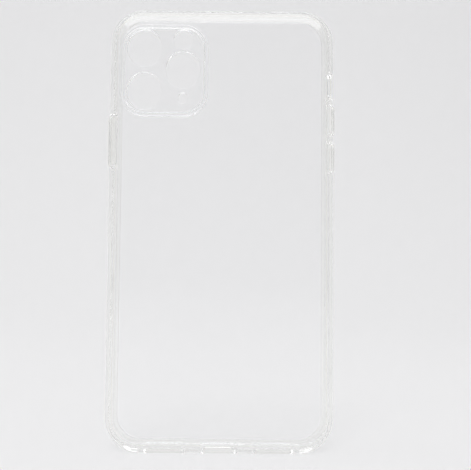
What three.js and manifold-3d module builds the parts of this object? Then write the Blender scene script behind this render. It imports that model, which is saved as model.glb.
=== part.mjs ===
// A clear case for a large three-lens phone, standing on its bottom edge.
// Millimetres. +Z runs up the length of the case, the back faces -Y and the open screen side faces +Y.
// The origin is at the middle of the bottom of the whole case's box.
import * as THREE from 'three';
import { mergeVertices } from 'three/addons/utils/BufferGeometryUtils.js';
import Module from 'manifold-3d';

const wasm = await Module();
wasm.setup();

// ---- driving dimensions ----
const PHONE = { width: 77.8, length: 158.0, thickness: 8.1, corner: 10.3 };
const FIT = 0.05;                 // free space between phone and case on each side
const SIDE_WALL = 1.9;            // long walls
const END_WALL = 1.0;             // top and bottom walls
const BACK = 1.1;                 // thickness of the back
const LIP = { height: 1.0, overhang: 1.3 };
const EDGE = { width: 7.0, depth: 3.8 };         // where the back turns into the walls, outside
const FOOT_EDGE = { width: 1.2, depth: 0.5 };    // the same at the bottom end, which has a wider flat to stand on
const INNER_EDGE = { width: 4.6, depth: 2.8 };   // the same, inside
const LIP_EDGE = { width: 0.9, depth: 0.9 };
const ISLAND = { width: 32.0, height: 33.7, corner: 9.0, rise: 1.5, wall: 1.2, plate: 1.0 };
const ISLAND_MIDDLE = { x: -20.9, z: 136.7 };
const LENS = { x: 6.95, z: 7.75, halfWidth: 6.25, halfHeight: 6.7 };
const FLASH = { z: 11.1, radius: 3.5 };
const MICROPHONE = { z: -10.4, halfWidth: 1.7, halfHeight: 2.0 };
const SEAM = { inset: 3.0, lap: 0.6, lapDepth: 1.45, gap: 0.05 };
const MUTE = { z: 132.0, length: 9.4, depth: 4.6, straight: 0.5, flare: 1.5 };
const BUTTON = { depth: 3.8, proud: 0.6, shoulder: 0.4, stemInset: 0.55, travel: 0.4 };
const WEB = { thickness: 0.45, groove: 0.7 };     // the membrane, and the groove it spans round a button
const BUTTONS = [
  { name: 'volume_up', side: 1, z: 119.9, length: 10.8 },
  { name: 'volume_down', side: 1, z: 106.0, length: 10.8 },
  { name: 'side_button', side: -1, z: 111.4, length: 19.0 },
];
const PORT = { width: 13.6, depth: 6.4 };
const SPEAKER = { x: 19.5, width: 14.5, depth: 3.4 };
const CORNER_STEPS = 8;           // flat steps in each quarter circle of the long outlines
const ARC_STEPS = 5;              // flat steps in each quarter circle of a wall's section
const BEYOND = 2;                 // how far a cutting tool runs past what it cuts

// ---- sizes that follow ----
const cavity = {
  width: PHONE.width + 2 * FIT,
  height: PHONE.length + 2 * FIT,
  corner: PHONE.corner + FIT,
};
const cavityDepth = PHONE.thickness + 2 * FIT;
const outer = {
  width: cavity.width + 2 * SIDE_WALL,
  height: cavity.height + 2 * END_WALL,
  corner: cavity.corner + (SIDE_WALL + END_WALL) / 2,
};
const caseDepth = BACK + cavityDepth + LIP.height;
const backY = ISLAND.rise - (caseDepth + ISLAND.rise) / 2;   // the back's outer face
const middleZ = outer.height / 2;
const phoneMiddle = BACK + cavityDepth / 2;                  // depth of the buttons below the back

// ---- outlines ----
// A rounded rectangle round (u, w), anticlockwise, always with the same number of points.
function roundedOutline({ width, height, corner }, inset = 0, u = 0, w = 0, steps = CORNER_STEPS) {
  const halfWidth = width / 2 - inset;
  const halfHeight = height / 2 - inset;
  const radius = Math.min(Math.max(corner - inset, 0.2), halfWidth - 0.01, halfHeight - 0.01);
  const points = [];
  for (const [signU, signW, start] of [[1, 1, 0], [-1, 1, 0.5], [-1, -1, 1], [1, -1, 1.5]]) {
    for (let step = 0; step <= steps; step += 1) {
      const angle = Math.PI * (start + (0.5 * step) / steps);
      points.push(new THREE.Vector2(
        u + signU * (halfWidth - radius) + radius * Math.cos(angle),
        w + signW * (halfHeight - radius) + radius * Math.sin(angle),
      ));
    }
  }
  return points;
}

function ellipseOutline(halfWidth, halfHeight, u, w, steps = 28) {
  return new THREE.EllipseCurve(u, w, halfWidth, halfHeight).getPoints(steps).slice(0, steps);
}

// ---- solids ----
const PLACES = {
  x: (u, w, along) => [along, u, w],
  y: (u, w, along) => [u, along, w],
  z: (u, w, along) => [u, w, along],
};

// A closed solid through a row of outlines, each { outline, at }, stacked along the named axis.
function loft(sections, axis) {
  const count = sections[0].outline.length;
  const positions = [];
  const index = [];
  for (const { outline, at } of sections) {
    outline.forEach((point) => positions.push(...PLACES[axis](point.x, point.y, at)));
  }
  for (let row = 0; row + 1 < sections.length; row += 1) {
    for (let step = 0; step < count; step += 1) {
      const a = row * count + step;
      const b = row * count + ((step + 1) % count);
      index.push(a, b, b + count, a, b + count, a + count);
    }
  }
  const last = (sections.length - 1) * count;
  for (const [a, b, c] of THREE.ShapeUtils.triangulateShape(sections[0].outline, [])) {
    index.push(c, b, a);
  }
  for (const [a, b, c] of THREE.ShapeUtils.triangulateShape(sections.at(-1).outline, [])) {
    index.push(last + a, last + b, last + c);
  }
  const geometry = new THREE.BufferGeometry();
  geometry.setAttribute('position', new THREE.Float32BufferAttribute(positions, 3));
  geometry.setIndex(index);
  return toSolid(geometry);
}

function signedVolume(vertices, triangles) {
  const [a, b, c] = [new THREE.Vector3(), new THREE.Vector3(), new THREE.Vector3()];
  let volume = 0;
  for (let first = 0; first < triangles.length; first += 3) {
    a.fromArray(vertices, 3 * triangles[first]);
    b.fromArray(vertices, 3 * triangles[first + 1]);
    c.fromArray(vertices, 3 * triangles[first + 2]);
    volume += a.dot(b.cross(c)) / 6;
  }
  return volume;
}

function toSolid(geometry) {
  const merged = mergeVertices(geometry, 1e-5);
  const vertProperties = Float32Array.from(merged.attributes.position.array);
  const triVerts = Uint32Array.from(merged.index.array);
  if (signedVolume(vertProperties, triVerts) < 0) {
    triVerts.reverse();
  }
  return new wasm.Manifold(new wasm.Mesh({ numProp: 3, vertProperties, triVerts }));
}

function prism(outline, from, to, axis) {
  return loft([{ outline, at: from }, { outline, at: to }], axis);
}

function subtractAll(solid, tools) {
  return tools.reduce((rest, tool) => rest.subtract(tool), solid);
}

// The quarter ellipse from a face, at inset = width, to the side of a wall, at inset = 0.
function quarterRound({ width, depth }, steps = ARC_STEPS) {
  return Array.from({ length: steps + 1 }, (_, step) => {
    const angle = (Math.PI / 2) * (step / steps);
    return { inset: width * (1 - Math.sin(angle)), depth: depth * (1 - Math.cos(angle)) };
  });
}

// How far in a quarter ellipse lies at some depth behind its face.
function insetAt({ width, depth }, at) {
  return at < depth ? width * (1 - Math.sqrt(1 - (1 - at / depth) ** 2)) : 0;
}

// ---- the shell that panel and frame are cut from ----
// The case's outline, in by `side` all round except the bottom end, which is in by `foot`.
function caseOutline(side, foot) {
  const size = {
    width: outer.width - 2 * side,
    height: outer.height - side - foot,
    corner: outer.corner - side,
  };
  return roundedOutline(size, 0, 0, middleZ + (foot - side) / 2);
}

function outerBody(shift = 0) {
  const back = quarterRound(EDGE).map(({ inset, depth }) => (
    { outline: caseOutline(inset, insetAt(FOOT_EDGE, depth)), at: backY + depth + shift }
  ));
  const front = quarterRound(LIP_EDGE, 3).reverse().map(({ inset, depth }) => (
    { outline: caseOutline(inset, inset), at: backY + caseDepth - depth + shift }
  ));
  return loft([...back, ...front], 'y');
}

function hollow() {
  const floor = quarterRound(INNER_EDGE).map(({ inset, depth }) => ({ inset, depth: BACK + depth }));
  const underLip = BACK + cavityDepth;
  const mouth = [
    { inset: 0, depth: underLip - 0.3 },
    { inset: LIP.overhang - 0.3, depth: underLip },
    { inset: LIP.overhang, depth: underLip + 0.3 },
    { inset: LIP.overhang, depth: caseDepth - 0.3 },
    { inset: LIP.overhang - 0.3, depth: caseDepth },
    { inset: LIP.overhang - 0.3, depth: caseDepth + BEYOND },
  ];
  return loft([...floor, ...mouth].map(({ inset, depth }) => ({
    outline: roundedOutline(cavity, inset, 0, middleZ),
    at: backY + depth,
  })), 'y');
}

// The stepped plug that separates the panel from the frame; the inner half laps under the frame.
function panelZone(gap) {
  const flangeFrom = backY + SEAM.lapDepth + (gap > 0 ? 0 : SEAM.gap);
  const opening = roundedOutline(outer, SEAM.inset - gap, 0, middleZ);
  const face = prism(opening, backY - BEYOND, flangeFrom + 0.1, 'y');
  const flange = prism(
    roundedOutline(outer, SEAM.inset - SEAM.lap - gap, 0, middleZ),
    flangeFrom, backY + BACK + INNER_EDGE.depth, 'y',
  );
  return face.add(flange);
}

// ---- openings ----
function islandOutline(inset) {
  return roundedOutline(ISLAND, inset, ISLAND_MIDDLE.x, ISLAND_MIDDLE.z);
}

// A side opening in the X direction through one long wall, u = depth and w = height.
function sideOutline(length, depth, z, grow = 0) {
  const size = { width: depth + 2 * grow, height: length + 2 * grow, corner: (depth + 2 * grow) / 2 };
  return roundedOutline(size, 0, backY + phoneMiddle, z, 6);
}

function muteSlot() {
  const inner = outer.width / 2 - SIDE_WALL;
  const bevelFrom = inner + MUTE.straight;
  const slope = MUTE.flare / (SIDE_WALL - MUTE.straight);
  const slot = (grow) => sideOutline(MUTE.length, MUTE.depth, MUTE.z, grow);
  return loft([
    { outline: slot(0), at: inner - BEYOND },
    { outline: slot(0), at: bevelFrom },
    { outline: slot(slope * BEYOND), at: bevelFrom + BEYOND },
  ], 'x');
}

function buttonWindow({ side, z, length }) {
  const middle = side * (outer.width / 2 - SIDE_WALL / 2);
  const outline = sideOutline(length, BUTTON.depth, z, WEB.groove);
  return prism(outline, middle - SIDE_WALL, middle + SIDE_WALL, 'x');
}

function bottomOpening(x, width, depth) {
  const outline = roundedOutline({ width, height: depth, corner: depth / 2 }, 0, x, backY + phoneMiddle, 6);
  return prism(outline, -BEYOND, END_WALL + BEYOND, 'z');
}

// ---- the pieces ----
function backPanel(shell) {
  const window = prism(islandOutline(ISLAND.wall / 2 - SEAM.gap), backY - BEYOND, backY + BACK + BEYOND, 'y');
  return shell.intersect(panelZone(0)).subtract(window);
}

function bumperFrame(shell) {
  return subtractAll(shell, [
    panelZone(SEAM.gap),
    muteSlot(),
    ...BUTTONS.map(buttonWindow),
    bottomOpening(0, PORT.width, PORT.depth),
    bottomOpening(-SPEAKER.x, SPEAKER.width, SPEAKER.depth),
    bottomOpening(SPEAKER.x, SPEAKER.width, SPEAKER.depth),
  ]);
}

// A tapered hole through the island's plate, wider at its outer edge.
function plateHole(halfWidth, halfHeight, x, z, bevel) {
  const face = backY - ISLAND.rise;
  const middle = { x: ISLAND_MIDDLE.x + x, z: ISLAND_MIDDLE.z + z };
  const outline = (grow) => ellipseOutline(halfWidth + grow, halfHeight + grow, middle.x, middle.z);
  return loft([
    { outline: outline(2 * bevel), at: face - bevel },
    { outline: outline(0), at: face + bevel },
    { outline: outline(0), at: face + ISLAND.plate + 0.5 },
  ], 'y');
}

// The guard's rim stands on the panel's outer face, curved edge included. Its skirt goes through the window.
function cameraGuard() {
  const face = backY - ISLAND.rise;
  const rim = loft([
    { outline: islandOutline(0.7), at: face },
    { outline: islandOutline(0.25), at: face + 0.2 },
    { outline: islandOutline(0.05), at: face + 0.6 },
    { outline: islandOutline(0), at: backY },
    { outline: islandOutline(0), at: backY + BACK },
  ], 'y').subtract(outerBody(-SEAM.gap));
  const skirt = prism(islandOutline(ISLAND.wall / 2), backY - 0.5, backY + BACK, 'y');
  const body = rim.add(skirt);
  const inside = prism(islandOutline(ISLAND.wall), face + ISLAND.plate, backY + BACK + BEYOND, 'y');
  return subtractAll(body, [
    inside,
    plateHole(LENS.halfWidth, LENS.halfHeight, -LENS.x, LENS.z, 0.35),
    plateHole(LENS.halfWidth, LENS.halfHeight, -LENS.x, -LENS.z, 0.35),
    plateHole(LENS.halfWidth, LENS.halfHeight, LENS.x, 0, 0.35),
    plateHole(FLASH.radius, FLASH.radius, LENS.x, FLASH.z, 0.3),
    plateHole(MICROPHONE.halfWidth, MICROPHONE.halfHeight, LENS.x, MICROPHONE.z, 0.25),
  ]);
}

// Distances from the middle plane to the parts of a button, measured along X.
function buttonLevels() {
  const wall = outer.width / 2;
  const webOuter = wall - BUTTON.shoulder - BUTTON.travel - SEAM.gap;
  return {
    top: wall + BUTTON.proud,
    shoulder: wall - BUTTON.shoulder,
    webOuter,
    webInner: webOuter - WEB.thickness,
    stemEnd: wall - SIDE_WALL + BUTTON.travel + SEAM.gap,
  };
}

function button({ side, z, length }) {
  const { top, shoulder, stemEnd } = buttonLevels();
  const pad = (grow) => sideOutline(length, BUTTON.depth, z, grow);
  return loft([
    { outline: pad(-BUTTON.stemInset), at: side * stemEnd },
    { outline: pad(-BUTTON.stemInset), at: side * shoulder },
    { outline: pad(0), at: side * shoulder },
    { outline: pad(0), at: side * (top - 0.35) },
    { outline: pad(-0.15), at: side * (top - 0.1) },
    { outline: pad(-0.45), at: side * top },
  ], 'x');
}

function membrane({ side, z, length }) {
  const { webOuter, webInner } = buttonLevels();
  const rim = sideOutline(length, BUTTON.depth, z, WEB.groove - SEAM.gap);
  const hole = sideOutline(length, BUTTON.depth, z, SEAM.gap - BUTTON.stemInset);
  const middle = side * (webOuter + webInner) / 2;
  return prism(rim, side * webInner, side * webOuter, 'x')
    .subtract(prism(hole, middle - WEB.thickness, middle + WEB.thickness, 'x'));
}

// ---- materials ----
const hardClear = { color: 0xf4f6f7, roughness: 0.06, metalness: 0, transparent: true, opacity: 0.3 };
const softClear = { color: 0xf1f3f3, roughness: 0.16, metalness: 0, transparent: true, opacity: 0.4 };

// ---- the case ----
function piece(name, solid, look) {
  const { numProp, vertProperties, triVerts } = solid.getMesh();
  const geometry = new THREE.BufferGeometry();
  geometry.setAttribute('position', new THREE.Float32BufferAttribute(vertProperties, numProp));
  geometry.setIndex(Array.from(triVerts));
  geometry.computeVertexNormals();
  const mesh = new THREE.Mesh(geometry, new THREE.MeshStandardMaterial(look));
  mesh.name = name;
  return mesh;
}

const shell = outerBody().subtract(hollow());
const phoneCase = new THREE.Group();
phoneCase.add(
  piece('back_panel', backPanel(shell), hardClear),
  piece('bumper_frame', bumperFrame(shell), softClear),
  piece('camera_guard', cameraGuard(), hardClear),
);
for (const spec of BUTTONS) {
  const base = spec.name.replace('_button', '');
  phoneCase.add(
    piece(`${base}_button`, button(spec), softClear),
    piece(`${base}_membrane`, membrane(spec), softClear),
  );
}

export default phoneCase;
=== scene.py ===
import math

import bmesh
import bpy
from mathutils import Matrix, Vector


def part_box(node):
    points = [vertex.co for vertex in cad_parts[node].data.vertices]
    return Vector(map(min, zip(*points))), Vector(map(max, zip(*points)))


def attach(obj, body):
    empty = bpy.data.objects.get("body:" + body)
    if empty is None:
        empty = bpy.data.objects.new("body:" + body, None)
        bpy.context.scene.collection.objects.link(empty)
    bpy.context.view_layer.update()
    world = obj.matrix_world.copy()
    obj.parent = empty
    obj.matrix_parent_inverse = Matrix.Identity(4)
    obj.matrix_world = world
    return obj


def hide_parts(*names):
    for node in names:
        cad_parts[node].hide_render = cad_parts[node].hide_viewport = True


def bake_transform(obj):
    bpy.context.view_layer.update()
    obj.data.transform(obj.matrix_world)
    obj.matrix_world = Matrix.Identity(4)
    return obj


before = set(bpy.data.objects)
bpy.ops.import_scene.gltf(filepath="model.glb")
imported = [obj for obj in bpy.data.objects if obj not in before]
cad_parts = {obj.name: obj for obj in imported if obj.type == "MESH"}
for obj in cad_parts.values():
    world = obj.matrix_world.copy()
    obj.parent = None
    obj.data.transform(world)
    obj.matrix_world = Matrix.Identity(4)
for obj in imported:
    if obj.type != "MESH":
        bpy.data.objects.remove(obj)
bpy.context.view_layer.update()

# A clear phone case, standing on its bottom edge with its back to the camera.
# The case's sizes are in millimetres and become metres in loft(). The set's sizes are in metres.
MM = 0.001

# ---- sizes repeated from the CAD ----
SIDE_WALL = 1.9
END_WALL = 1.0
BACK = 1.1
LIP_HEIGHT = 1.0
LIP_OVERHANG = 1.3
CAVITY_CORNER = 10.35
EDGE = (7.0, 3.8)              # width and depth of the round from the back to the walls
FOOT_EDGE = (1.2, 0.5)         # the same at the bottom end
INNER_EDGE = (4.6, 2.8)        # the same inside the hollow
LIP_EDGE = (0.9, 0.9)
SEAM_INSET = 3.0
ISLAND_CORNER = 9.0
ISLAND_WALL = 1.2
ISLAND_PLATE = 1.0
ISLAND_ROUND = (0.7, 0.6)
# Half width and half height of the island's openings, and their places from its middle.
LENS = (6.25, 6.7)
LENS_PLACES = ((-6.95, 7.75), (-6.95, -7.75), (6.95, 0.0))
FLASH = (3.5, 3.5)
FLASH_PLACE = (6.95, 11.1)
MICROPHONE = (1.7, 2.0)
MICROPHONE_PLACE = (6.95, -10.4)
MUTE_LENGTH = 9.4
MUTE_DEPTH = 4.6
MUTE_Z = 132.0
MUTE_STRAIGHT = 0.5
MUTE_FLARE = 1.5
GROOVE = 0.7                   # free space round each button
STEM_INSET = 0.55              # how far a button's stem is in from its pad
SHOULDER = 0.4                 # from the wall's face down to the underside of a button's pad
PORT = (13.6, 6.4)
SPEAKER = (14.5, 3.4)
SPEAKER_X = 19.5

# ---- sizes of this model alone ----
BOND = 0.02                    # space left between pieces that are bonded
BEYOND = 2.0                   # how far a cutting tool runs past what it cuts
LIP_ROUND = 0.3                # the rounds on the inside of the lip
ISLAND_INNER_ROUND = (0.5, 0.5)
LENS_FILLET = 0.45
FLASH_FILLET = 0.35
MICROPHONE_FILLET = 0.3
WINDOW_FILLET = 0.2
BOTTOM_FILLET = 0.35
MUTE_EASE = 0.3                # the straight slot turns into its flare over this much, each way
FLARE_TRIM = 0.02              # the flare is this much smaller than the CAD's
PAD_DOME = (0.75, 0.45)        # width and depth of the round on a button's pad
PAD_CHAMFER = 0.1
STEM_CHAMFER = 0.15
WEB = 0.2                      # thickness of a membrane
WEB_BITE = 0.1                 # how far a membrane's inner edge reaches up the stem
SKIRT_TOP = 0.5                # how far the island's skirt goes up into its wall
SMALLEST_CORNER = 0.2
SHORTEST_SIDE = 0.01           # half of the straight that is left between two corners
CORNER_STEPS = 24
SLOT_STEPS = 12
ARC_STEPS = 14
FILLET_STEPS = 5
SMALL_ROUND_STEPS = 8
PAD_STEPS = 7
WEB_STEPS = 6
SAME_POINT = 1e-7              # metres
SHARP_ANGLE = math.radians(32)


def span(node):
    """The lowest and highest corners of a CAD node, in millimetres."""
    low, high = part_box(node)
    return low / MM, high / MM


frame_high = span("bumper_frame")[1]
panel_low = span("back_panel")[0]
guard_low, guard_high = span("camera_guard")

WALL_X = frame_high.x
HEIGHT = frame_high.z
BACK_Y = panel_low.y
CASE_DEPTH = frame_high.y - panel_low.y
UNDER_LIP = CASE_DEPTH - LIP_HEIGHT
OUTER = (2 * WALL_X, HEIGHT, CAVITY_CORNER + (SIDE_WALL + END_WALL) / 2)
CAVITY = (2 * (WALL_X - SIDE_WALL), HEIGHT - 2 * END_WALL, CAVITY_CORNER)
ISLAND = (guard_high.x - guard_low.x, guard_high.z - guard_low.z, ISLAND_CORNER)
ISLAND_X = (guard_high.x + guard_low.x) / 2
ISLAND_Z = (guard_high.z + guard_low.z) / 2
ISLAND_FACE = guard_low.y
SIDE_Y = BACK_Y + BACK + (UNDER_LIP - BACK) / 2     # the buttons' middle


# ---- outlines: lists of points (u, w) ----
def rounded(size, inset=0.0, u=0.0, w=0.0, steps=CORNER_STEPS):
    """A rounded rectangle round (u, w), anticlockwise. However far in, its corners stay round."""
    width, height, corner = size
    half_width = width / 2 - inset
    half_height = height / 2 - inset
    longest_radius = min(half_width, half_height) - SHORTEST_SIDE
    radius = min(max(corner - inset, SMALLEST_CORNER), longest_radius)
    points = []
    for sign_u, sign_w, start in ((1, 1, 0), (-1, 1, 0.5), (-1, -1, 1), (1, -1, 1.5)):
        for step in range(steps + 1):
            angle = math.pi * (start + 0.5 * step / steps)
            points.append((
                u + sign_u * (half_width - radius) + radius * math.cos(angle),
                w + sign_w * (half_height - radius) + radius * math.sin(angle),
            ))
    return points


def ellipse(half_size, grow, u, w, steps=72):
    """An ellipse round (u, w), larger by grow all round."""
    turns = (2 * math.pi * step / steps for step in range(steps))
    return [
        (u + (half_size[0] + grow) * math.cos(t), w + (half_size[1] + grow) * math.sin(t))
        for t in turns
    ]


def case_outline(side, foot):
    """The case's outline, in by side all round except the bottom end, which is in by foot."""
    size = (OUTER[0] - 2 * side, OUTER[1] - side - foot, OUTER[2] - side)
    return rounded(size, w=HEIGHT / 2 + (foot - side) / 2)


def cavity_outline(inset):
    return rounded(CAVITY, inset, w=HEIGHT / 2)


def island_outline(inset):
    return rounded(ISLAND, inset, ISLAND_X, ISLAND_Z)


# ---- sections: quarter rounds and arcs as (inset, depth) ----
def quarter_round(edge, steps=ARC_STEPS):
    """From a face, where the inset is the edge's width, down to the side of a wall."""
    turns = (math.pi / 2 * step / steps for step in range(steps + 1))
    return [(edge[0] * (1 - math.sin(t)), edge[1] * (1 - math.cos(t))) for t in turns]


def inset_at(edge, depth):
    """How far in a quarter round lies at some depth."""
    if depth >= edge[1]:
        return 0.0
    return edge[0] * (1 - math.sqrt(1 - (1 - depth / edge[1]) ** 2))


def arc(inset, depth, radius, start, end, steps=FILLET_STEPS):
    """An arc round a centre, from start to end in degrees, where 90 degrees is away from the back."""
    turns = (math.radians(start + (end - start) * step / steps) for step in range(steps + 1))
    return [(inset + radius * math.cos(t), depth + radius * math.sin(t)) for t in turns]


# ---- meshes ----
PLACES = {
    "x": lambda u, w, along: (along, u, w),
    "y": lambda u, w, along: (u, along, w),
    "z": lambda u, w, along: (u, w, along),
}


def loft(name, sections, axis, ring=False):
    """A piece through sections (outline, place along the axis), closed at both ends.

    With ring, the last section meets the first instead.
    """
    made = bmesh.new()
    rows = []
    for outline, along in sections:
        rows.append([made.verts.new(Vector(PLACES[axis](u, w, along)) * MM) for u, w in outline])
    count = len(rows[0])
    pairs = list(zip(rows, rows[1:]))
    if ring:
        pairs.append((rows[-1], rows[0]))
    for near, far in pairs:
        for step in range(count):
            after = (step + 1) % count
            made.faces.new((near[step], near[after], far[after], far[step]))
    if not ring:
        made.faces.new(rows[0])
        made.faces.new(rows[-1])
    bmesh.ops.recalc_face_normals(made, faces=made.faces)
    mesh = bpy.data.meshes.new(name)
    made.to_mesh(mesh)
    made.free()
    piece = bpy.data.objects.new(name, mesh)
    bpy.context.scene.collection.objects.link(piece)
    return piece


def prism(name, outline, start, end, axis):
    return loft(name, [(outline, start), (outline, end)], axis)


def combine(piece, tool, operation):
    """Apply a boolean of piece and tool, and use up the tool."""
    modifier = piece.modifiers.new("combine", "BOOLEAN")
    modifier.solver = "EXACT"
    modifier.operation = operation
    modifier.object = tool
    bpy.context.view_layer.update()
    seen = piece.evaluated_get(bpy.context.evaluated_depsgraph_get())
    made = bpy.data.meshes.new_from_object(seen)
    piece.modifiers.clear()
    old = piece.data
    piece.data = made
    bpy.data.meshes.remove(old)
    bpy.data.meshes.remove(tool.data)
    return piece


def cut(piece, *tools):
    for tool in tools:
        combine(piece, tool, "DIFFERENCE")
    return piece


def hole(name, outline, face, through, fillet, axis):
    """A tool that cuts outline(grow) from a face to through.

    It rounds the hole's edge, and leaves the face at a slope.
    """
    way = math.copysign(1, through - face)
    first = math.radians(20)
    turns = [first + (math.pi / 2 - first) * step / FILLET_STEPS for step in range(FILLET_STEPS + 1)]
    profile = [(fillet * (1 - math.sin(t)), fillet * (1 - math.cos(t))) for t in turns]
    rise = 0.3
    spread = (profile[0][1] + rise) / math.tan(first)
    sections = [(outline(profile[0][0] + spread), face - way * rise)]
    sections += [(outline(grow), face + way * depth) for grow, depth in profile]
    sections.append((outline(0.0), through))
    return loft(name, sections, axis)


def settle(piece, body, nodes, material):
    """Merge stray points, then give the piece its shading, material and place in the frame."""
    mesh = piece.data
    made = bmesh.new()
    made.from_mesh(mesh)
    bmesh.ops.remove_doubles(made, verts=made.verts, dist=SAME_POINT)
    bmesh.ops.dissolve_degenerate(made, edges=made.edges, dist=SAME_POINT)
    made.to_mesh(mesh)
    made.free()
    mesh.materials.clear()
    mesh.materials.append(material)
    mesh.shade_smooth()
    mesh.set_sharp_from_angle(angle=SHARP_ANGLE)
    weighted = piece.modifiers.new("flat faces stay flat", "WEIGHTED_NORMAL")
    weighted.keep_sharp = True
    weighted.weight = 80
    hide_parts(*nodes)
    if body is not None:
        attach(piece, body)
    return piece


# ---- materials ----
# Noises as (scale, detail).
HAZE = (55, 5)
RIPPLE = (38, 1.5)
GRAIN = (900, 3)
HAZE_SPAN = (0.35, 0.75)       # the part of the haze noise that is spread over the roughness
GRAIN_SHARE = 0.004            # the grain's height against the ripple's
LAMP_SHADE = (0.8, 0.8, 0.8, 1)
LONGEST_PATH = 12              # light that is caught in a wall leaves it after this many surfaces


class Graph:
    """A new material's nodes, with short ways to add and link them."""

    def __init__(self, name):
        self.material = bpy.data.materials.new(name)
        self.material.use_nodes = True
        self.tree = self.material.node_tree
        self.tree.nodes.clear()

    def add(self, kind):
        return self.tree.nodes.new(kind)

    def feed(self, node, **inputs):
        """Set or link a node's inputs. Underscores in their names stand for spaces."""
        for name, value in inputs.items():
            self.put(value, node.inputs[name.replace("_", " ")])
        return node

    def put(self, value, socket):
        """Link an output to a socket, or give the socket a value."""
        if isinstance(value, bpy.types.NodeSocket):
            self.tree.links.new(value, socket)
        else:
            socket.default_value = value

    def noise(self, place, scale, detail):
        node = self.add("ShaderNodeTexNoise")
        return self.feed(node, Scale=scale, Detail=detail, Vector=place).outputs["Fac"]

    def calculate(self, operation, *values):
        node = self.add("ShaderNodeMath")
        node.operation = operation
        for value, socket in zip(values, node.inputs):
            self.put(value, socket)
        return node.outputs["Value"]


def clear_plastic(name, ior, roughness, tint, clearness, wave):
    """Clear moulded plastic: slightly wavy, with a faint uneven haze and a fine grain.

    Rays to lamps and rays off matt surfaces go straight through, the first with some shade.
    So do rays that have met many surfaces.
    """
    graph = Graph(name)
    place = graph.add("ShaderNodeTexCoord").outputs["Object"]
    haze = graph.feed(
        graph.add("ShaderNodeMapRange"),
        Value=graph.noise(place, *HAZE),
        From_Min=HAZE_SPAN[0],
        From_Max=HAZE_SPAN[1],
        To_Min=roughness[0],
        To_Max=roughness[1],
    )
    ripple = graph.noise(place, *RIPPLE)
    grain = graph.noise(place, *GRAIN)
    bump = graph.feed(
        graph.add("ShaderNodeBump"),
        Strength=1.0,
        Distance=wave,
        Height=graph.calculate("MULTIPLY_ADD", grain, GRAIN_SHARE, ripple),
    )
    plastic = graph.feed(
        graph.add("ShaderNodeBsdfPrincipled"),
        Base_Color=tint,
        Transmission_Weight=clearness,
        IOR=ior,
        Roughness=haze.outputs["Result"],
        Normal=bump.outputs["Normal"],
    )

    rays = graph.add("ShaderNodeLightPath").outputs
    shade = graph.add("ShaderNodeMix")
    shade.data_type = "RGBA"
    graph.feed(shade, A=(1, 1, 1, 1), B=LAMP_SHADE, Factor=rays["Is Shadow Ray"])
    straight = graph.feed(graph.add("ShaderNodeBsdfTransparent"), Color=shade.outputs["Result"])
    matt = graph.calculate("MAXIMUM", rays["Is Shadow Ray"], rays["Is Diffuse Ray"])
    guided = graph.calculate("GREATER_THAN", rays["Ray Depth"], LONGEST_PATH)
    mix = graph.add("ShaderNodeMixShader")
    graph.put(graph.calculate("MAXIMUM", matt, guided), mix.inputs["Fac"])
    graph.put(plastic.outputs["BSDF"], mix.inputs[1])
    graph.put(straight.outputs["BSDF"], mix.inputs[2])
    graph.feed(graph.add("ShaderNodeOutputMaterial"), Surface=mix.outputs["Shader"])
    return graph.material


hard = clear_plastic(
    "hard_clear",
    ior=1.585,
    roughness=(0.01, 0.04),
    tint=(0.996, 0.997, 0.998, 1),
    clearness=0.995,
    wave=0.000002,
)
soft = clear_plastic(
    "soft_clear",
    ior=1.5,
    roughness=(0.01, 0.05),
    tint=(0.975, 0.975, 0.962, 1),
    clearness=0.99,
    wave=0.000003,
)


# ---- the shell ----
def outer_body(name, shift=0.0):
    """The whole case's outside, filled in. Shift moves it away from the back."""
    sections = [
        (case_outline(inset, inset_at(FOOT_EDGE, depth)), BACK_Y + depth + shift)
        for inset, depth in quarter_round(EDGE)
    ]
    sections += [
        (case_outline(inset, inset), BACK_Y + CASE_DEPTH - depth + shift)
        for inset, depth in reversed(quarter_round(LIP_EDGE, SMALL_ROUND_STEPS))
    ]
    return loft(name, sections, "y")


def hollow():
    """A tool that cuts the phone's room, from inside the back to under the lip and out past it."""
    in_lip = LIP_OVERHANG - LIP_ROUND
    profile = [(inset, BACK + depth) for inset, depth in quarter_round(INNER_EDGE)]
    profile += arc(LIP_ROUND, UNDER_LIP - LIP_ROUND, LIP_ROUND, 180, 90)
    profile += arc(in_lip, UNDER_LIP + LIP_ROUND, LIP_ROUND, -90, 0)
    profile += arc(in_lip, CASE_DEPTH - LIP_ROUND, LIP_ROUND, 0, 90)
    profile.append((in_lip, CASE_DEPTH + BEYOND))
    sections = [(cavity_outline(inset), BACK_Y + depth) for inset, depth in profile]
    return loft("hollow", sections, "y")


def shell(name):
    return cut(outer_body(name), hollow())


def plug(inset):
    """What lies inside the seam between the hard panel and the soft frame."""
    outline = rounded(OUTER, inset, w=HEIGHT / 2)
    return prism("plug", outline, BACK_Y - BEYOND, BACK_Y + BACK + INNER_EDGE[1], "y")


# ---- openings ----
def side_outline(half_depth, half_length, z):
    """A round-ended slot in a long wall, as outline(grow)."""
    def outline(grow):
        size = (2 * (half_depth + grow), 2 * (half_length + grow), half_depth + grow)
        return rounded(size, 0, SIDE_Y, z, SLOT_STEPS)
    return outline


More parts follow.
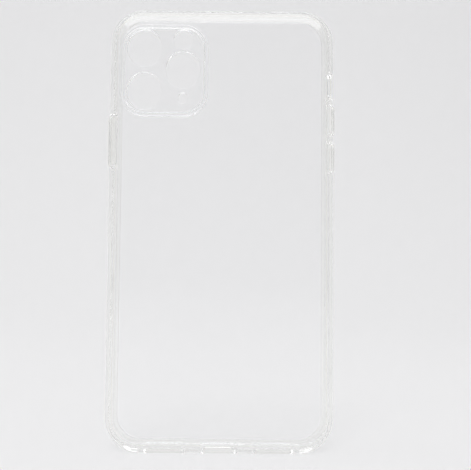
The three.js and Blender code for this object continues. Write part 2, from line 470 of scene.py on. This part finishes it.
def mute_slot():
    """A tool for the switch's slot: straight next to the phone, then flared outwards."""
    outline = side_outline(MUTE_DEPTH / 2, MUTE_LENGTH / 2, MUTE_Z)
    inner = WALL_X - SIDE_WALL
    bevel = SIDE_WALL - MUTE_STRAIGHT
    slope = MUTE_FLARE / bevel
    ease_from = inner + MUTE_STRAIGHT - MUTE_EASE
    sections = [(outline(0), inner - BEYOND), (outline(0), ease_from)]
    for step in range(1, FILLET_STEPS + 1):
        share = step / FILLET_STEPS
        sections.append((outline(MUTE_EASE * slope * share ** 2), ease_from + 2 * MUTE_EASE * share))
    sections.append((outline(slope * (bevel + BEYOND) - FLARE_TRIM), WALL_X + BEYOND))
    return loft("mute_slot", sections, "x")


def bottom_opening(size, x):
    """A tool for a round-ended slot in the bottom wall."""
    def outline(grow):
        grown = (size[0] + 2 * grow, size[1] + 2 * grow, size[1] / 2 + grow)
        return rounded(grown, 0, x, SIDE_Y, SLOT_STEPS)
    return hole("opening", outline, 0.0, END_WALL + BEYOND, BOTTOM_FILLET, "z")


# ---- the pieces ----
def button_sizes(node):
    """Which side a button is on, and its pad's half depth, half length and middle."""
    low, high = span(node)
    side = math.copysign(1, low.x)
    return side, (high.y - low.y) / 2, (high.z - low.z) / 2, (high.z + low.z) / 2


# Each button with its body and the membrane that it hangs in.
BUTTONS = {
    "volume_up_button": ("volume_up", "volume_up_membrane"),
    "volume_down_button": ("volume_down", "volume_down_membrane"),
    "side_button": ("side", "side_membrane"),
}


def button_window(node):
    side, half_depth, half_length, z = button_sizes(node)
    pad = side_outline(half_depth, half_length, z)
    return hole(
        "window",
        lambda grow: pad(GROOVE + grow),
        side * WALL_X,
        side * (WALL_X - 2 * SIDE_WALL),
        WINDOW_FILLET,
        "x",
    )


def back_panel():
    piece = combine(shell("back_panel_clear"), plug(SEAM_INSET + BOND), "INTERSECT")
    outline = island_outline(ISLAND_WALL / 2 - BOND)
    window = prism("window", outline, BACK_Y - BEYOND, BACK_Y + BACK + BEYOND, "y")
    return settle(cut(piece, window), "case", ["back_panel"], hard)


def bumper_frame():
    piece = cut(
        shell("bumper_frame_clear"),
        plug(SEAM_INSET),
        mute_slot(),
        *[button_window(node) for node in BUTTONS],
        bottom_opening(PORT, 0.0),
        bottom_opening(SPEAKER, -SPEAKER_X),
        bottom_opening(SPEAKER, SPEAKER_X),
    )
    return settle(piece, "case", ["bumper_frame"], soft)


def plate_hole(half_size, place, fillet):
    """A hole through the island's plate, with its outer edge rounded."""
    return hole(
        "plate_hole",
        lambda grow: ellipse(half_size, grow, ISLAND_X + place[0], ISLAND_Z + place[1]),
        ISLAND_FACE,
        ISLAND_FACE + ISLAND_PLATE + BEYOND / 2,
        fillet,
        "y",
    )


def camera_guard():
    """The island: it stands on the panel, and its skirt goes down into the panel's window."""
    top = [
        (island_outline(inset), ISLAND_FACE + depth)
        for inset, depth in quarter_round(ISLAND_ROUND, SMALL_ROUND_STEPS)
    ]
    piece = loft("camera_guard_clear", [*top, (island_outline(0), BACK_Y + BACK)], "y")
    cut(piece, outer_body("under", -BOND))
    skirt = prism("skirt", island_outline(ISLAND_WALL / 2), BACK_Y - SKIRT_TOP, BACK_Y + BACK, "y")
    combine(piece, skirt, "UNION")
    inside_round = [
        (island_outline(ISLAND_WALL + inset), ISLAND_FACE + ISLAND_PLATE + depth)
        for inset, depth in quarter_round(ISLAND_INNER_ROUND, FILLET_STEPS)
    ]
    foot = (island_outline(ISLAND_WALL), BACK_Y + BACK + BEYOND)
    cut(piece, loft("inside", [*inside_round, foot], "y"))
    for place in LENS_PLACES:
        cut(piece, plate_hole(LENS, place, LENS_FILLET))
    cut(piece, plate_hole(FLASH, FLASH_PLACE, FLASH_FILLET))
    cut(piece, plate_hole(MICROPHONE, MICROPHONE_PLACE, MICROPHONE_FILLET))
    return settle(piece, "case", ["camera_guard"], hard)


def button(node, body):
    """A pad with a domed edge on a shorter stem."""
    low, high = span(node)
    side, half_depth, half_length, z = button_sizes(node)
    top = max(abs(low.x), abs(high.x))
    stem_end = min(abs(low.x), abs(high.x))
    under = WALL_X - SHOULDER
    pad = side_outline(half_depth, half_length, z)
    sections = [
        (pad(-STEM_INSET - STEM_CHAMFER), stem_end),
        (pad(-STEM_INSET), stem_end + STEM_CHAMFER),
        (pad(-STEM_INSET), under),
        (pad(-PAD_CHAMFER), under),
        (pad(0), under + PAD_CHAMFER),
    ]
    sections += [
        (pad(-inset), top - depth)
        for inset, depth in reversed(quarter_round(PAD_DOME, PAD_STEPS))
    ]
    piece = loft(f"{node}_clear", [(outline, side * x) for outline, x in sections], "x")
    return settle(piece, body, [node], soft)


def membrane(node, button_node):
    """A thin web that dishes in from the window's rim to the button's stem."""
    side, half_depth, half_length, z = button_sizes(button_node)
    low, high = span(node)
    rim_top = max(abs(low.x), abs(high.x))
    stem_top = min(abs(low.x), abs(high.x)) + WEB - WEB_BITE
    pad = side_outline(half_depth, half_length, z)
    rim = GROOVE - BOND
    stem = BOND - STEM_INSET
    upper = []
    lower = []
    for step in range(WEB_STEPS + 1):
        share = step / WEB_STEPS
        dip = share * share * (3 - 2 * share)
        x = rim_top + (stem_top - rim_top) * dip
        grow = rim + (stem - rim) * share
        upper.append((pad(grow), side * x))
        lower.append((pad(grow), side * (x - WEB)))
    piece = loft(f"{node}_clear", upper + lower[::-1], "x", ring=True)
    settle(piece, None, [node], soft)
    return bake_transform(piece)


back_panel()
bumper_frame()
camera_guard()
for node, (body, web) in BUTTONS.items():
    button(node, body)
    membrane(web, node)


# ---- floor, backdrop and light, in metres ----
SWEEP_FRONT = -6.5
SWEEP_BACK = 1.9
SWEEP_HALF_WIDTH = 6.5
SWEEP_CORNER = 4.0
SWEEP_BEND = 1.4               # radius of the turn from the floor up into the backdrop
SWEEP_TOP = 3.4
FLAT_STRIP = 0.01              # keeps the smooth shading of the turn off the floor
PAPER = (0.9, 0.9, 0.903, 1)
SURROUND = (0.828, 0.829, 0.832, 1)
FOCAL_LENGTH = 52.6
CAMERA_PLACE = (0.00547, -0.2505, 0.0641)
CAMERA_RISE = 3.05             # degrees that the camera looks up
CAMERA_ROLL = 0.5
BOUNCES = 24                   # light makes many turns before it is out of the clear rim


def studio_material():
    material = bpy.data.materials.new("studio_paper")
    material.use_nodes = True
    paper = material.node_tree.nodes["Principled BSDF"]
    paper.inputs["Base Color"].default_value = PAPER
    paper.inputs["Roughness"].default_value = 0.9
    paper.inputs["Specular IOR Level"].default_value = 0.1
    return material


def sweep():
    """A pale floor that turns up into a backdrop on every side, far off except behind the case."""
    size = (2 * SWEEP_HALF_WIDTH, SWEEP_BACK - SWEEP_FRONT, SWEEP_CORNER)
    middle = (SWEEP_FRONT + SWEEP_BACK) / 2
    turn = quarter_round((SWEEP_BEND, SWEEP_BEND), CORNER_STEPS)
    made = bmesh.new()
    rows = []
    for inset, z in [(SWEEP_BEND + FLAT_STRIP, 0.0), *turn, (0.0, SWEEP_TOP)]:
        rows.append([made.verts.new((x, y, z)) for x, y in rounded(size, inset, w=middle)])
    made.faces.new(rows[0])
    for low, high in zip(rows, rows[1:]):
        for step in range(len(low)):
            made.faces.new((low[step], low[step - 1], high[step - 1], high[step]))
    mesh = bpy.data.meshes.new("sweep")
    made.to_mesh(mesh)
    made.free()
    mesh.shade_smooth()
    mesh.materials.append(studio_material())
    piece = bpy.data.objects.new("sweep", mesh)
    bpy.context.scene.collection.objects.link(piece)


def softbox(name, place, aim, size, radiance, seen=("matt", "mirror", "through")):
    """A soft rectangular lamp of even brightness.

    Seen says where it works: on matt surfaces, as a mirror image in the plastic, or through it.
    """
    light = bpy.data.lights.new(name, "AREA")
    light.shape = "RECTANGLE"
    light.size = size[0]
    light.size_y = size[1]
    light.energy = radiance * math.pi * size[0] * size[1]
    lamp = bpy.data.objects.new(name, light)
    lamp.location = place
    lamp.rotation_mode = "QUATERNION"
    lamp.rotation_quaternion = (Vector(aim) - Vector(place)).to_track_quat("-Z", "Y")
    lamp.visible_camera = False
    lamp.visible_diffuse = "matt" in seen
    lamp.visible_glossy = "mirror" in seen
    lamp.visible_transmission = "through" in seen
    bpy.context.scene.collection.objects.link(lamp)


def light_the_set():
    """An even surround, overhead cards for the band along the top, and a key lamp for the shadow."""
    world = bpy.data.worlds.new("studio")
    world.use_nodes = True
    world.node_tree.nodes["Background"].inputs["Color"].default_value = SURROUND
    bpy.context.scene.world = world
    plastic_only = ("mirror", "through")
    softbox("card", (0, -1.0, 1.2), (0, -1.0, 0), (1.8, 1.3), 0.5, plastic_only)
    softbox("sheen", (0, -1.0, 1.25), (0, -1.0, 0), (1.8, 1.3), 1.6, ("mirror",))
    softbox("top", (0, 0.5, 1.5), (0, 0.5, 0), (2.2, 1.8), 0.06)
    softbox("left", (-1.6, 0.1, 0.7), (0, 0, 0.1), (2.4, 1.4), 0.09, plastic_only)
    softbox("right", (1.6, 0.1, 0.7), (0, 0, 0.1), (2.4, 1.4), 0.06, plastic_only)
    softbox("key", (-0.2, -0.8, 1.6), (0, 0.1, 0.0), (0.5, 0.5), 3.9, ("matt",))
    softbox("backdrop_wash", (-0.5, -0.1, 1.9), (-0.2, 1.1, 0.1), (2.5, 0.6), 0.8)


def camera():
    data = bpy.data.cameras.new("camera")
    data.lens = FOCAL_LENGTH
    data.sensor_width = 36
    data.clip_start = 0.01
    eye = bpy.data.objects.new("camera", data)
    rise = Matrix.Rotation(math.radians(90 + CAMERA_RISE), 4, "X")
    roll = Matrix.Rotation(math.radians(CAMERA_ROLL), 4, "Z")
    eye.matrix_world = Matrix.Translation(CAMERA_PLACE) @ rise @ roll
    bpy.context.scene.collection.objects.link(eye)
    bpy.context.scene.camera = eye


def picture_settings():
    bpy.context.scene.view_settings.view_transform = "Standard"
    cycles = bpy.context.scene.cycles
    cycles.denoising_input_passes = "RGB_ALBEDO"
    cycles.max_bounces = BOUNCES
    cycles.glossy_bounces = BOUNCES
    cycles.transmission_bounces = BOUNCES
    cycles.transparent_max_bounces = BOUNCES


sweep()
light_the_set()
camera()
picture_settings()
